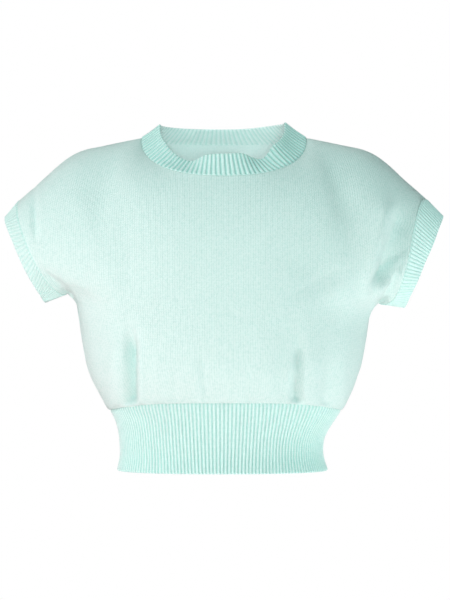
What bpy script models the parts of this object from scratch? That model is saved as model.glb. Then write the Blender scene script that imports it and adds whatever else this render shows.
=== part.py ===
"""Sleeveless knitted pullover, hollow and in the shape that it has when worn.

The front faces -Y, +Z is up, and the origin lies midway between the two points
where the shoulder seams meet the neckband, which is where shoulders carry it.
Tables and sizes are in millimetres, with heights above the hem's cast-on edge.
"""

import math
from collections import namedtuple

import bmesh
import bpy
from mathutils import Vector

MM = 0.001

# Heights on the garment
NECK_POINT_HEIGHT = 425.5
WAIST_SEAM_HEIGHT = 89.0
WAIST_SEAM_DROOP = 12.0  # how much lower that seam lies at the sides
UNDERARM_HEIGHT = 214.0  # at the middle of the front and the back

# The knit
JERSEY_THICKNESS = 1.8
RIB_GROUND = 1.6  # thickness of a rib band between its ribs
RIB_RAISE = 1.2  # how far a rib stands out of it
SEAM_GAP = 0.3
WAIST_RIBS = 80  # on the front, and as many on the back
NECK_RIBS = {"front": 52, "back": 40}
ARM_RIBS = 80
POINTS_PER_RIB = 2  # a ridge and a valley
RIBS_PER_INNER_SPAN = 2  # the plain inside has one point for every two ribs

# Cross sections of the tube, from the hem up: half its width, and how far the
# front and the back stand from the plane of the side seams.
Section = namedtuple("Section", "height half_width front back shift")
WAISTBAND = (
    Section(0.0, 134.0, 96.0, 84.0, -2.0),
    Section(20.0, 129.3, 92.0, 81.0, -3.0),
    Section(38.0, 130.0, 93.0, 81.5, -3.0),
    Section(52.0, 133.8, 95.5, 83.5, -1.0),
    Section(66.0, 140.5, 99.5, 86.5, 1.5),
    Section(77.0, 147.0, 103.5, 89.5, 2.0),
    Section(89.0, 154.0, 108.0, 92.5, 2.0),
)
BODY = (
    Section(76.0, 149.0, 105.0, 91.5, 2.0),
    Section(89.0, 156.0, 110.5, 95.0, 1.5),
    Section(105.0, 164.5, 116.0, 99.5, 1.0),
    Section(120.0, 170.8, 119.5, 102.0, 0.0),
    Section(135.0, 176.0, 121.5, 103.5, 0.0),
    Section(166.0, 182.0, 122.0, 104.5, 0.0),
    Section(197.0, 186.5, 120.0, 103.5, 0.0),
    Section(222.0, 190.5, 117.5, 102.0, 0.0),
)
SECTION_SQUARENESS = 2.25  # 2 is an ellipse, and more is boxier
UNDERARM_FLARE_RISE = 15.0  # over this height the side seam turns out to the armhole
UNDERARM_FLARE_FADE = 10  # the higher, the nearer to the side seam that turn stays
LEVEL_BEND = 3  # the higher, the nearer to the sides the two levels above bend

# The shoulder seam, from the neck point out to the armhole
ShoulderPoint = namedtuple("ShoulderPoint", "across height")
SHOULDER_SEAM = (
    ShoulderPoint(105.5, 425.5),
    ShoulderPoint(132.6, 420.0),
    ShoulderPoint(158.0, 414.6),
    ShoulderPoint(178.0, 410.4),
    ShoulderPoint(195.0, 402.8),
    ShoulderPoint(212.0, 390.0),
    ShoulderPoint(230.0, 373.0),
    ShoulderPoint(247.0, 358.3),
    ShoulderPoint(261.0, 345.8),
)

# The armhole seams and the armbands' bound-off edges are ovals from the shoulder to
# the underarm. Depth is half their size from front to back, and bulge is how far
# the front and back of the oval stand out of its plane, away from the body.
Oval = namedtuple("Oval", "top_across top_height low_across low_height depth bulge")
ARMHOLE = {
    -1: Oval(261.0, 345.8, 201.5, 221.5, 60.0, 11.0),
    1: Oval(261.0, 345.8, 198.5, 213.5, 60.0, 11.0),
}
ARMBAND_EDGE = {
    -1: Oval(281.5, 323.0, 235.5, 217.5, 41.0, 4.0),
    1: Oval(281.0, 324.5, 232.0, 208.5, 41.0, 0.0),
}

# The neck seam and the neckband's free edge: half the width at the neck points,
# and how far forward or back, and how high, their middles are.
NeckLoop = namedtuple("NeckLoop", "half_width side_height depth middle_height squareness shift")
NECK_SEAM = {
    "front": NeckLoop(105.5, 425.5, 80.0, 374.5, 2.4, 0.0),
    "back": NeckLoop(105.5, 425.5, 62.0, 421.5, 2.2, 0.0),
}
NECK_EDGE = {
    "front": NeckLoop(79.5, 442.8, 70.0, 393.0, 2.5, -2.0),
    "back": NeckLoop(79.5, 442.8, 48.0, 439.5, 2.2, -2.0),
}
NECKBAND_ROLL = -1.0  # how far the middle of the neckband bows out
BAND_SETTLES = 0.5  # the share of a band in which it turns from its seam's tilt to its own

# Slack in the neckband's edge: where it rises and falls, and goes in or out. The
# first row is on the front and the back alike, and the others are on the front.
Wave = namedtuple("Wave", "across reach lift push_back")
NECK_EDGE_RISE = Wave(70.0, 32.0, 2.8, 0.0)
NECK_WAVES = (
    Wave(-43.0, 17.0, 0.0, 6.5),
    Wave(2.0, 34.0, 9.5, -3.0),
    Wave(45.0, 15.0, 1.0, 6.0),
    Wave(-70.0, 10.0, 0.0, -1.5),
)
NECK_WAVES_START = 30.0  # they have their full size this far forward of the neck points

# How the cloth meets the neck seam: its slope in degrees at the neck point and at
# the middle, and its heading there, where 90 degrees is straight back.
SLOPE_AT_NECK_POINT = 9.0
SLOPE_AT_MIDDLE = {"front": 60.0, "back": 55.0}
SLOPE_GROWTH = 1.5  # the higher, the later the slope grows from one to the other
HEADING_AT_NECK_POINT = 50.0
HEADING_ON_SHOULDER = 90.0
HEADING_TURNS_OVER = 0.8  # the share of the shoulder seam in which it turns

# Soft folds, as troughs (negative) and ridges (positive) along straight lines that
# are given across and up the garment as it is seen from that side's front.
Fold = namedtuple("Fold", "low_across low_height high_across high_height reach depth")
FOLDS = {
    "front": (
        Fold(-121.0, 78.0, -120.0, 146.0, 7.5, -6.0),
        Fold(-134.0, 84.0, -136.0, 144.0, 7.0, 2.0),
        Fold(-106.0, 86.0, -107.0, 144.0, 8.0, 2.0),
        Fold(90.0, 84.0, 100.0, 136.0, 8.0, -5.0),
        Fold(108.0, 88.0, 118.0, 144.0, 8.0, 2.5),
        Fold(132.0, 94.0, 137.0, 134.0, 8.0, -2.5),
        Fold(-64.0, 86.0, -62.0, 122.0, 7.0, -1.6),
        Fold(-20.0, 86.0, -18.0, 114.0, 7.0, -1.3),
        Fold(-40.0, 86.0, -41.0, 126.0, 9.0, 1.4),
        Fold(31.0, 86.0, 32.0, 118.0, 7.0, -1.6),
        Fold(62.0, 86.0, 66.0, 124.0, 9.0, 1.6),
        Fold(195.0, 241.0, 214.0, 306.0, 9.0, -6.0),
        Fold(184.0, 244.0, 201.0, 312.0, 9.0, 3.0),
        Fold(203.0, 222.0, 214.0, 236.0, 7.0, -3.5),
        Fold(210.0, 252.0, 226.0, 256.0, 8.0, 3.0),
        Fold(240.0, 312.0, 247.0, 332.0, 5.0, -2.5),
        Fold(-204.0, 226.0, -214.0, 240.0, 7.0, -3.0),
        Fold(-194.0, 244.0, -206.0, 294.0, 11.0, -2.0),
        Fold(-241.0, 310.0, -247.0, 330.0, 5.0, -2.5),
    ),
    "back": (
        Fold(-124.0, 80.0, -120.0, 144.0, 8.0, -5.0),
        Fold(-98.0, 86.0, -94.0, 122.0, 7.0, 2.0),
        Fold(-74.0, 86.0, -71.0, 132.0, 8.0, -3.0),
        Fold(-30.0, 86.0, -29.0, 118.0, 7.0, -2.0),
        Fold(4.0, 86.0, 5.0, 110.0, 7.0, -1.6),
        Fold(43.0, 86.0, 45.0, 128.0, 8.0, -2.6),
        Fold(88.0, 86.0, 93.0, 138.0, 8.0, -4.0),
        Fold(122.0, 82.0, 128.0, 134.0, 8.0, -3.5),
        Fold(-196.0, 238.0, -211.0, 300.0, 9.0, -5.0),
        Fold(-184.0, 242.0, -198.0, 306.0, 9.0, 2.5),
        Fold(196.0, 240.0, 213.0, 294.0, 9.0, -4.5),
        Fold(203.0, 223.0, 213.0, 235.0, 7.0, -3.0),
        Fold(-203.0, 223.0, -213.0, 235.0, 7.0, -3.0),
        Fold(241.0, 312.0, 247.0, 332.0, 5.0, -2.0),
        Fold(-241.0, 312.0, -247.0, 332.0, 5.0, -2.0),
    ),
}
FOLD_FADE = 16.0  # how far past its ends a fold dies away
SEAM_CALM = 14.0  # folds have died away at a seam and are whole this far from it

# The grid of each panel
SHOULDER_COLUMNS = {"front": 9, "back": 10}
BODY_ROWS = 7
YOKE_ROWS = 14
WAISTBAND_ROWS = 3
NECKBAND_ROWS = 3
ARMBAND_ROWS = 2

# Handles of the curves that run from underarm level up to the shoulder and neck
LOW_HANDLE = 0.36
TOP_HANDLE = 0.34
TANGENT_FROM = 0.9  # the body's direction at underarm level is taken from this share up
ARMHOLE_PULL_STARTS = 0.3  # share of the half width where the armhole bends them
OVAL_HANDLE = 4.0 / 3.0  # one cubic curve with such handles is half an oval

MINT = (0.412, 0.708, 0.624, 1.0)
MINT_RIB = (0.390, 0.692, 0.606, 1.0)

SHARP_EDGE = 50.0  # edges that turn by more degrees than this stay sharp

FACING = {"front": -1.0, "back": 1.0}  # the sign of Y on that side

SeamPoint = namedtuple("SeamPoint", "point onward normal")


# ---------------------------------------------------------------- small helpers


def clamp(value, low=0.0, high=1.0):
    return max(low, min(high, value))


def smoothstep(value):
    value = clamp(value)
    return value * value * (3.0 - 2.0 * value)


def hand_of(turn):
    """1 on the side of +X and -1 on the other."""
    return 1 if turn > 0.0 else -1


def signed_power(value, power):
    return math.copysign(abs(value) ** power, value)


def read_table(rows, position):
    """Every column of a table at a place between its rows, along a smooth curve through them."""
    places = [row[0] for row in rows]
    position = clamp(position, places[0], places[-1])
    span = next(i for i in range(1, len(rows)) if position <= places[i] or i == len(rows) - 1)
    low, high = places[span - 1], places[span]
    share = (position - low) / (high - low)

    def steepness(index, column):
        before, after = max(index - 1, 0), min(index + 1, len(rows) - 1)
        return (rows[after][column] - rows[before][column]) / (places[after] - places[before])

    def value(column):
        start, end = rows[span - 1][column], rows[span][column]
        leave = steepness(span - 1, column) * (high - low)
        arrive = steepness(span, column) * (high - low)
        s2, s3 = share * share, share * share * share
        return (
            start * (2 * s3 - 3 * s2 + 1)
            + leave * (s3 - 2 * s2 + share)
            + end * (3 * s2 - 2 * s3)
            + arrive * (s3 - s2)
        )

    return type(rows[0])(position, *(value(c) for c in range(1, len(rows[0]))))


def bezier(start, leave, arrive, end, share):
    rest = 1.0 - share
    return (
        start * rest**3
        + leave * (3.0 * rest * rest * share)
        + arrive * (3.0 * rest * share * share)
        + end * share**3
    )


def unit(vector):
    return vector.normalized() if vector.length > 1e-9 else Vector((0.0, 0.0, 1.0))


# ------------------------------------------------------------- the worn surface


def ring_point(section, turn, side):
    """A point of a cross section. turn runs from -1 at one side seam to 1 at the other."""
    angle = turn * math.pi / 2.0
    power = 2.0 / SECTION_SQUARENESS
    across = section.half_width * signed_power(math.sin(angle), power)
    depth = section.front if side == "front" else section.back
    out = depth * abs(math.cos(angle)) ** power
    return Vector((section.shift + across, FACING[side] * out, section.height))


def evenly_round(number, side):
    """The turns of evenly spaced points on half of the waistband, measured along its hem."""
    fine = number * 8
    turns = [2.0 * i / fine - 1.0 for i in range(fine + 1)]
    ring = [ring_point(WAISTBAND[0], turn, side) for turn in turns]
    run = [0.0]
    for before, after in zip(ring, ring[1:]):
        run.append(run[-1] + (after - before).length)
    result, i = [], 0
    for k in range(number + 1):
        wanted = run[-1] * k / number
        while i < fine - 1 and run[i + 1] < wanted:
            i += 1
        share = (wanted - run[i]) / (run[i + 1] - run[i])
        result.append(turns[i] + (turns[i + 1] - turns[i]) * share)
    return result


def underarm_height(turn):
    """The level at which the armholes start, which differs a little between the two sides."""
    low = ARMHOLE[hand_of(turn)].low_height
    return UNDERARM_HEIGHT + (low - UNDERARM_HEIGHT) * abs(turn) ** LEVEL_BEND


def waist_seam_height(turn):
    return WAIST_SEAM_HEIGHT - WAIST_SEAM_DROOP * abs(math.sin(turn * math.pi / 2.0)) ** LEVEL_BEND


def body_point(turn, share, side):
    """Between the waist seam, at share 0, and underarm level, at share 1."""
    low, high = waist_seam_height(turn), underarm_height(turn)
    section = read_table(BODY, low + (high - low) * share)
    point = ring_point(section, turn, side)
    flare = ARMHOLE[hand_of(turn)].low_across - section.half_width
    rise = clamp(1.0 - (high - low) * (1.0 - share) / UNDERARM_FLARE_RISE)
    point.x += math.copysign(flare * rise**2 * abs(turn) ** UNDERARM_FLARE_FADE, turn)
    return point


def neck_point(loop, turn, side):
    """A point of a neck loop. turn runs from -1 at one neck point, over 0 in the middle, to 1."""
    angle = turn * math.pi / 2.0
    power = 2.0 / loop.squareness
    across = loop.shift + loop.half_width * signed_power(math.sin(angle), power)
    middle = abs(math.cos(angle)) ** power
    height = loop.side_height + (loop.middle_height - loop.side_height) * middle
    return Vector((across, FACING[side] * loop.depth * middle, height))


def neck_edge_point(turn, side):
    """The neckband's free edge, with its slack."""
    point = neck_point(NECK_EDGE[side], turn, side)
    moved = point.copy()
    for wave in (NECK_EDGE_RISE, *NECK_WAVES):
        near = math.exp(-(((point.x - wave.across) / wave.reach) ** 2))
        if wave is not NECK_EDGE_RISE:
            near *= smoothstep(-point.y / NECK_WAVES_START)
        moved.z += wave.lift * near
        moved.y += wave.push_back * near
    return moved


def oval_frame(oval, hand):
    """An oval's middle and the vector from there to its top."""
    top = Vector((hand * oval.top_across, 0.0, oval.top_height))
    low = Vector((hand * oval.low_across, 0.0, oval.low_height))
    return (top + low) / 2.0, (top - low) / 2.0


def oval_outward(oval, hand):
    """The direction away from the body that is square to an oval's plane."""
    up = oval_frame(oval, hand)[1]
    return unit(Vector((hand * up.z, 0.0, -hand * up.x)))


def top_point(turn, neck_share, side):
    """The panel's upper boundary, and the heading and slope with which the cloth reaches it."""
    if abs(turn) <= neck_share:
        neck_turn = turn / neck_share
        middle = 1.0 - abs(neck_turn)
        heading = HEADING_AT_NECK_POINT + (90.0 - HEADING_AT_NECK_POINT) * middle
        slope = SLOPE_AT_NECK_POINT + (SLOPE_AT_MIDDLE[side] - SLOPE_AT_NECK_POINT) * (
            math.sin(middle * math.pi / 2.0) ** SLOPE_GROWTH
        )
        return neck_point(NECK_SEAM[side], neck_turn, side), heading, slope
    share = (abs(turn) - neck_share) / (1.0 - neck_share)
    neck, tip = SHOULDER_SEAM[0], SHOULDER_SEAM[-1]
    across = neck.across + (tip.across - neck.across) * share
    height = read_table(SHOULDER_SEAM, across).height
    turned = smoothstep(share / HEADING_TURNS_OVER)
    heading = HEADING_AT_NECK_POINT + (HEADING_ON_SHOULDER - HEADING_AT_NECK_POINT) * turned
    slope = SLOPE_AT_NECK_POINT * (1.0 - turned)
    return Vector((math.copysign(across, turn), 0.0, height)), heading, slope


def arrival(turn, heading, slope, side):
    """The direction in which the cloth reaches the panel's upper boundary."""
    heading, slope = math.radians(heading), math.radians(slope)
    level = math.cos(slope)
    return Vector((
        -math.copysign(math.cos(heading) * level, turn),
        -FACING[side] * math.sin(heading) * level,
        math.sin(slope),
    ))


def yoke_point(turn, share, neck_share, side):
    """Between underarm level, at share 0, and the shoulder and neck, at share 1."""
    low = body_point(turn, 1.0, side)
    below = body_point(turn, TANGENT_FROM, side)
    top, heading, slope = top_point(turn, neck_share, side)
    chord = (top - low).length
    rising = unit(low - below) * chord * LOW_HANDLE
    falling = arrival(turn, heading, slope, side) * -chord * TOP_HANDLE
    oval = ARMHOLE[hand_of(turn)]
    pull = oval_outward(oval, hand_of(turn)) * oval.bulge
    pull = (pull + Vector((0.0, FACING[side] * oval.depth, 0.0))) * OVAL_HANDLE
    weight = smoothstep((abs(turn) - ARMHOLE_PULL_STARTS) / (1.0 - ARMHOLE_PULL_STARTS))
    leave = low + rising.lerp(pull, weight)
    arrive = top + falling.lerp(pull, weight)
    return bezier(low, leave, arrive, top, share)


def fold_height(point, side):
    """How far the cloth stands out at a point, summed over the folds of its side."""
    total = 0.0
    for fold in FOLDS[side]:
        low = Vector((fold.low_across, fold.low_height))
        high = Vector((fold.high_across, fold.high_height))
        along = high - low
        length = along.length
        along.normalize()
        offset = Vector((point.x, point.z)) - low
        run = offset.dot(along)
        beside = abs(offset.x * along.y - offset.y * along.x)
        past = max(0.0, -run, run - length)
        total += fold.depth * math.exp(-((beside / fold.reach) ** 2) - (past / FOLD_FADE) ** 2)
    return total


# ------------------------------------------------------------------- the panels


def panel_grid(side):
    """The outer face of the front or the back as rows of points, before its folds."""
    neck_columns = NECK_RIBS[side] // RIBS_PER_INNER_SPAN
    columns = neck_columns + 2 * SHOULDER_COLUMNS[side]
    neck_share = neck_columns / columns
    turns = [2.0 * i / columns - 1.0 for i in range(columns + 1)]
    rows = [[body_point(t, j / BODY_ROWS, side) for t in turns] for j in range(BODY_ROWS)]
    rows += [
        [yoke_point(t, j / YOKE_ROWS, neck_share, side) for t in turns]
        for j in range(YOKE_ROWS + 1)
    ]
    return rows


def grid_normals(rows, side):
    """The outward normal at each point of a grid, from its neighbours."""
    last_row, last_column = len(rows) - 1, len(rows[0]) - 1
    normals = []
    for j, row in enumerate(rows):
        up = [
            rows[min(j + 1, last_row)][i] - rows[max(j - 1, 0)][i] for i in range(len(row))
        ]
        over = [row[min(i + 1, last_column)] - row[max(i - 1, 0)] for i in range(len(row))]
        normals.append([unit(o.cross(u)) * -FACING[side] for o, u in zip(over, up)])
    return normals


def folded(rows, side):
    """The grid with its folds, which leave the seams where they are."""
    normals = grid_normals(rows, side)
    edge = [row[0] for row in rows] + [row[-1] for row in rows] + rows[0] + rows[-1]
    result = []
    for row, row_normals in zip(rows, normals):
        moved = []
        for point, normal in zip(row, row_normals):
            nearest = min((point - other).length for other in edge)
            calm = smoothstep(nearest / SEAM_CALM)
            moved.append(point + normal * fold_height(point, side) * calm)
        result.append(moved)
    return result


def level_normal(before, after, side):
    """The outward normal of a level line of points."""
    run = after - before
    return unit(Vector((run.y, -run.x, 0.0))) * -FACING[side]


def flat_normal(before, after, outward):
    """The normal, in the plane of the side and shoulder seams, of a line in that plane."""
    run = after - before
    normal = unit(Vector((run.z, 0.0, -run.x)))
    return normal if normal.dot(outward) > 0.0 else -normal


def seam_between(loop, inland, far):
    """Where a closed seam runs between a panel and a band: its points, the way across it and
    its outward normal. inland has the panel's points beside it, and far the band's far edge."""
    count = len(loop)
    result = []
    for i, point in enumerate(loop):
        tangent = unit(loop[(i + 1) % count] - loop[i - 1])
        leaving = point - inland[i]
        leaving = unit(leaving - tangent * leaving.dot(tangent))
        going = far[i] - point
        going = unit(going - tangent * going.dot(tangent))
        onward = unit(leaving + going)
        result.append(SeamPoint(point, onward, unit(onward.cross(tangent))))
    return result


def neck_seam(grids):
    """The neck seam as one loop: the front from left to right, then the back from right to left."""
    loop, inland, far = [], [], []
    for side in ("front", "back"):
        rows, skip = grids[side], SHOULDER_COLUMNS[side]
        columns = len(rows[0]) - 1 - 2 * skip
        for k in range(columns):
            i = k if side == "front" else columns - k
            loop.append(rows[-1][skip + i])
            inland.append(rows[-2][skip + i])
            far.append(neck_edge_point(2.0 * i / columns - 1.0, side))
    corners = (0, NECK_RIBS["front"] // RIBS_PER_INNER_SPAN)
    for corner in corners:
        inland[corner] = Vector((inland[corner].x, 0.0, inland[corner].z))
    seam = upright(seam_between(loop, inland, far), corners)
    return [SeamPoint(point, onward, -normal) for point, onward, normal in seam]


def upright(seam, corners):
    """The seam with its corners' directions kept in the plane of the side and shoulder seams."""
    for i in corners:
        point, onward, normal = seam[i]
        onward, normal = onward.copy(), normal.copy()
        onward.y = normal.y = 0.0
        seam[i] = SeamPoint(point, unit(onward), unit(normal))
    return seam


def armband_edge_point(seam_point, hand):
    """The armband's bound-off edge, beside a point of the armhole seam."""
    hole, edge = ARMHOLE[hand], ARMBAND_EDGE[hand]
    middle, up = oval_frame(hole, hand)
    along = (seam_point - middle).dot(up) / up.length_squared
    angle = math.atan2(-seam_point.y / hole.depth, along)
    middle, up = oval_frame(edge, hand)
    point = middle + up * math.cos(angle)
    point += oval_outward(edge, hand) * edge.bulge * math.sin(angle) ** 2
    point.y -= edge.depth * math.sin(angle)
    return point


def armhole_seam(grids, hand):
    """An armhole seam as one loop: up the front edge from the underarm, then down the back."""
    column, beside = (-1, -2) if hand > 0 else (0, 1)
    front, back = grids["front"][BODY_ROWS:], grids["back"][BODY_ROWS:]
    loop = [row[column] for row in front] + [row[column] for row in back[-2:0:-1]]
    inland = [row[beside] for row in front] + [row[beside] for row in back[-2:0:-1]]
    inland[0] = grids["front"][BODY_ROWS - 1][column]
    inland[YOKE_ROWS] = Vector((inland[YOKE_ROWS].x, 0.0, inland[YOKE_ROWS].z))
    far = [armband_edge_point(point, hand) for point in loop]
    seam = upright(seam_between(loop, inland, far), (0, YOKE_ROWS))
    if hand > 0:
        return seam
    return [SeamPoint(p, onward, -normal) for p, onward, normal in seam]


def panel_walls(side, rows, neck, armholes):
    """The outer and inner points of a panel, with its edges drawn back from the seams."""
    normals = grid_normals(rows, side)
    outer = [[point.copy() for point in row] for row in rows]
    back_off = SEAM_GAP / 2.0
    last_row, last_column = len(rows) - 1, len(rows[0]) - 1
    skip = SHOULDER_COLUMNS[side]

    for i in range(last_column + 1):
        before, after = rows[0][max(i - 1, 0)], rows[0][min(i + 1, last_column)]
        normals[0][i] = level_normal(before, after, side)
        outer[0][i].z += back_off
    for i in range(last_column + 1):
        if skip < i < last_column - skip:
            continue
        before, after = rows[-1][max(i - 1, 0)], rows[-1][min(i + 1, last_column)]
        if i in (skip, last_column - skip):
            continue
        normals[-1][i] = flat_normal(before, after, Vector((0.0, 0.0, 1.0)))
        outer[-1][i].y += FACING[side] * back_off
    for column, hand in ((0, -1.0), (last_column, 1.0)):
        for j in range(BODY_ROWS + 1):
            before, after = rows[max(j - 1, 0)][column], rows[j + 1][column]
            normals[j][column] = flat_normal(before, after, Vector((hand, 0.0, 0.0)))
            outer[j][column].y += FACING[side] * back_off
        normals[0][column] = Vector((hand, 0.0, 0.0))

    def meet(j, i, seam):
        outer[j][i] = rows[j][i] - seam.onward * back_off
        normals[j][i] = seam.normal
        if abs(rows[j][i].y) < 1e-6:
            outer[j][i].y += FACING[side] * back_off

    columns = last_column - 2 * skip
    for k in range(columns + 1):
        place = k if side == "front" else (len(neck) - k) % len(neck)
        meet(last_row, skip + k, neck[place])
    for column, seam in ((0, armholes[-1]), (last_column, armholes[1])):
        for k in range(YOKE_ROWS + 1):
            place = k if side == "front" else (len(seam) - k) % len(seam)
            meet(BODY_ROWS + k, column, seam[place])

    inner = [
        [point - normal * JERSEY_THICKNESS for point, normal in zip(row, row_normals)]
        for row, row_normals in zip(outer, normals)
    ]
    return outer, inner


# --------------------------------------------------------------------- the bands


def in_between(seam, place):
    """A seam's point, way across and normal at a place between its points."""
    low = int(math.floor(place + 1e-9))
    share = place - low
    a, b = seam[low % len(seam)], seam[(low + 1) % len(seam)]
    return SeamPoint(*(p.lerp(q, share) for p, q in zip(a, b)))


def band_walls(seam, far_points, ribs, rows, roll):
    """The outer and inner rings of a ribbed band, from its seam to its free edge."""
    per_span = POINTS_PER_RIB * RIBS_PER_INNER_SPAN
    count = ribs * POINTS_PER_RIB
    spans = count // per_span

    def rings(number, raised, depth):
        result = []
        for j in range(rows + 1):
            share = j / rows
            ring = []
            for k in range(number):
                place = k * len(seam) / number
                start = in_between(seam, place)
                onward = far_points(place) - start.point
                outward = start.normal - onward * (start.normal.dot(onward) / onward.length_squared)
                normal = unit(start.normal.lerp(unit(outward), smoothstep(share / BAND_SETTLES)))
                point = start.point + start.onward * SEAM_GAP / 2.0 * (1.0 - share)
                point += onward * share + normal * roll * math.sin(math.pi * share)
                lift = RIB_RAISE if raised and k % POINTS_PER_RIB == 0 else 0.0
                ring.append(point + normal * (lift - depth))
            result.append(ring)
        return result

    return rings(count, True, 0.0), rings(spans, False, RIB_GROUND)


def waistband_walls(side):
    """The outer and inner rows of half of the waistband, from the hem up."""
    count = WAIST_RIBS * POINTS_PER_RIB
    spans = WAIST_RIBS // RIBS_PER_INNER_SPAN

    def walls(number, raised, depth):
        turns = evenly_round(number, side)
        result = []
        for j in range(WAISTBAND_ROWS + 1):
            row = []
            for k, turn in enumerate(turns):
                top = waist_seam_height(turn) - SEAM_GAP / 2.0
                section = read_table(WAISTBAND, top * j / WAISTBAND_ROWS)
                step = 1.0 / count
                before = ring_point(section, max(turn - step, -1.0), side)
                after = ring_point(section, min(turn + step, 1.0), side)
                normal = level_normal(before, after, side)
                point = ring_point(section, turn, side)
                if k in (0, number):
                    normal = Vector((math.copysign(1.0, turn), 0.0, 0.0))
                    point.y += FACING[side] * SEAM_GAP / 2.0
                lift = RIB_RAISE if raised and k % POINTS_PER_RIB else 0.0
                row.append(point + normal * (lift - depth))
            result.append(row)
        return result

    return walls(count, True, 0.0), walls(spans, False, RIB_GROUND)


# ------------------------------------------------------------------- the solids


def knit_material(name, colour):
    material = bpy.data.materials.new(name)
    material.use_nodes = True
    shader = material.node_tree.nodes["Principled BSDF"]
    shader.inputs["Base Color"].default_value = colour
    shader.inputs["Roughness"].default_value = 0.9
    shader.inputs["Metallic"].default_value = 0.0
    return material


def wall_object(name, outer, inner, closed, flip, material, collection):
    """A closed wall between two grids of points. The inner one may have fewer points in a row."""
    mesh = bmesh.new()

    def place(point):
        return mesh.verts.new((point - Vector((0.0, 0.0, NECK_POINT_HEIGHT))) * MM)

    outside = [[place(p) for p in row] for row in outer]
    inside = [[place(p) for p in row] for row in inner]

    def face(*corners):
        mesh.faces.new(corners[::-1] if flip else corners)

    def spans(row):
        return range(len(row)) if closed else range(len(row) - 1)

    def skin(rows, face_of):
        for low, high in zip(rows, rows[1:]):
            for i in spans(low):
                nxt = (i + 1) % len(low)
                face_of(low[i], low[nxt], high[nxt], high[i])

    def rim(out_row, in_row, face_of):
        many = len(spans(out_row)) // len(spans(in_row))
        for i in spans(in_row):
            nxt = (i + 1) % len(in_row)
            half = i * many + many // 2
            for k in range(i * many, (i + 1) * many):
                far = in_row[i] if k < half else in_row[nxt]
                face_of(out_row[k], out_row[(k + 1) % len(out_row)], far)
            face_of(out_row[half % len(out_row)], in_row[nxt], in_row[i])

    skin(outside, face)
    skin(inside, lambda *c: face(*c[::-1]))
    rim(outside[0], inside[0], lambda *c: face(*c[::-1]))
    rim(outside[-1], inside[-1], face)
    if not closed:
        for end, turned in ((0, False), (-1, True)):
            for j in range(len(outside) - 1):
                corners = (
                    outside[j][end], outside[j + 1][end], inside[j + 1][end], inside[j][end]
                )
                face(*(corners[::-1] if turned else corners))

    data = bpy.data.meshes.new(name)
    mesh.to_mesh(data)
    mesh.free()
    data.shade_smooth()
    data.set_sharp_from_angle(angle=math.radians(SHARP_EDGE))
    data.materials.append(material)
    thing = bpy.data.objects.new(name, data)
    collection.objects.link(thing)
    return thing


def build():
    for old in list(bpy.data.objects):
        bpy.data.objects.remove(old)
    collection = bpy.data.collections.new("sleeveless_pullover")
    bpy.context.scene.collection.children.link(collection)
    jersey = knit_material("mint_jersey", MINT)
    rib = knit_material("mint_rib", MINT_RIB)

    grids = {side: folded(panel_grid(side), side) for side in FACING}
    neck = neck_seam(grids)
    armholes = {hand: armhole_seam(grids, hand) for hand in (-1, 1)}

    for side in FACING:
        flip = side == "back"
        outer, inner = panel_walls(side, grids[side], neck, armholes)
        wall_object(f"{side}_body", outer, inner, False, flip, jersey, collection)
        outer, inner = waistband_walls(side)
        wall_object(f"{side}_waist_rib", outer, inner, False, flip, rib, collection)

    front_spans = NECK_RIBS["front"] // RIBS_PER_INNER_SPAN
    back_spans = NECK_RIBS["back"] // RIBS_PER_INNER_SPAN

    def neck_far(place):
        if place <= front_spans:
            return neck_edge_point(2.0 * place / front_spans - 1.0, "front")
        return neck_edge_point(1.0 - 2.0 * (place - front_spans) / back_spans, "back")

    ribs = NECK_RIBS["front"] + NECK_RIBS["back"]
    outer, inner = band_walls(neck, neck_far, ribs, NECKBAND_ROWS, NECKBAND_ROLL)
    wall_object("neckband", outer, inner, True, False, rib, collection)

    for hand, name in ((-1, "left_armband"), (1, "right_armband")):
        seam = armholes[hand]

        def arm_far(place, seam=seam, hand=hand):
            return armband_edge_point(in_between(seam, place).point, hand)

        outer, inner = band_walls(seam, arm_far, ARM_RIBS, ARMBAND_ROWS, 0.0)
        wall_object(name, outer, inner, True, hand > 0, rib, collection)


build()
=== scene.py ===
import math

import bmesh
import bpy
import numpy as np
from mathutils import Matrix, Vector


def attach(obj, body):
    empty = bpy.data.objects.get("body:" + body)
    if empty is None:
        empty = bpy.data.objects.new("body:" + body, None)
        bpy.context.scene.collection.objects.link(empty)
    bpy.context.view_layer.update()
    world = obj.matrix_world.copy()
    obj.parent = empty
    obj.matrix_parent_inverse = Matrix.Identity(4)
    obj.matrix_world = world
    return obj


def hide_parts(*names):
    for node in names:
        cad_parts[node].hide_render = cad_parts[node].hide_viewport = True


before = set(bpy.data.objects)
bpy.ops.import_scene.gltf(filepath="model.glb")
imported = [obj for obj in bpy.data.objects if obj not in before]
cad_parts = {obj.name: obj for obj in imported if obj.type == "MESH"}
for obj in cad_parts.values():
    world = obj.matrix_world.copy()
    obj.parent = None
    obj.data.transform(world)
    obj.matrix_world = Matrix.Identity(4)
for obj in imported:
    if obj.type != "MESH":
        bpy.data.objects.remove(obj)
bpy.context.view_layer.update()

mm = 0.001
neckPointHeight = 425.5  # the origin's height above the hem
facing = {"front": -1.0, "back": 1.0}  # the sign of Y on that side

# The worn shape: the tube of the body, the shoulders over it and the neckline.

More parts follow.
